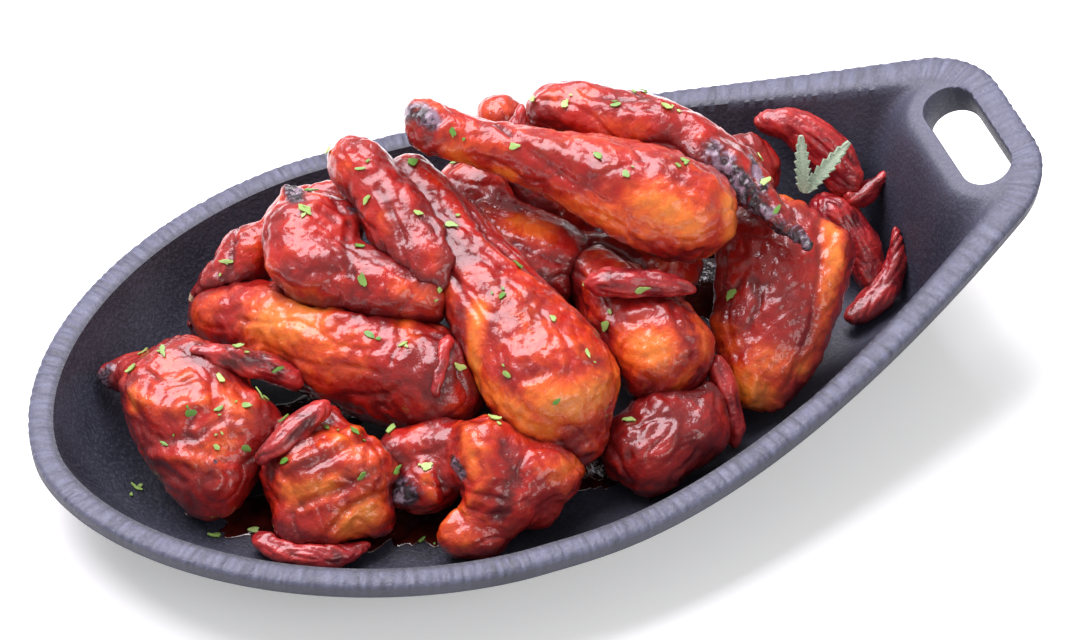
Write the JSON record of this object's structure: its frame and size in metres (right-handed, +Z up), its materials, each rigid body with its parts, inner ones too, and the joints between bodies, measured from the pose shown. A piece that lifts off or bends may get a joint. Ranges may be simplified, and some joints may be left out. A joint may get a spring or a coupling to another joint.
{
  "type": "chicken wings serving",
  "caption": "Glazed chicken wings and drumettes with dried chillies, heaped in a black teardrop cast-iron dish with a slotted handle.",
  "frame": {"origin": "on the ground, below the middle of the box round the whole serving", "axes": "+X along the dish towards its slotted handle, +Y across the dish away from the viewer, +Z up"},
  "size_m": [0.312, 0.1866, 0.0823],
  "materials": {
    "seasoned_cast_iron": "matt, finely pebbled, blue-black",
    "golden_skin": "glossy golden-orange roasted skin under a thin red glaze",
    "glazed_skin": "glossy red-brown glazed skin",
    "dark_glaze": "glossy dark maroon glaze",
    "dried_chilli": "satin, dark red, wrinkled",
    "sage_leaf": "matt pale grey-green"
  },
  "bodies": {
    "root": {"dish": "seasoned_cast_iron", "drumette_top": "golden_skin", "drumette_middle": "golden_skin", "drumette_lower_left": "golden_skin", "drumette_right": "golden_skin", "drumette_back": "glazed_skin", "shank_standing": "glazed_skin", "wing_top": "dark_glaze", "wing_right": "glazed_skin", "wing_upper_left": "glazed_skin", "wing_folded_front": "glazed_skin", "wing_far_left": "glazed_skin", "wing_front_left": "golden_skin", "wing_front_right": "dark_glaze", "wing_centre": "glazed_skin", "wing_left_edge": "glazed_skin", "wing_back_right": "glazed_skin", "chilli_arch": "dried_chilli", "chilli_bend": "dried_chilli", "chilli_tip_up": "dried_chilli", "chilli_sickle": "dried_chilli", "chilli_left": "dried_chilli", "chilli_middle": "dried_chilli", "chilli_front_right": "dried_chilli", "chilli_tip_back": "dried_chilli", "chilli_lower_left": "dried_chilli", "chilli_front_left": "dried_chilli", "chilli_under": "dried_chilli", "sprig": "sage_leaf"}
  },
  "joints": []
}
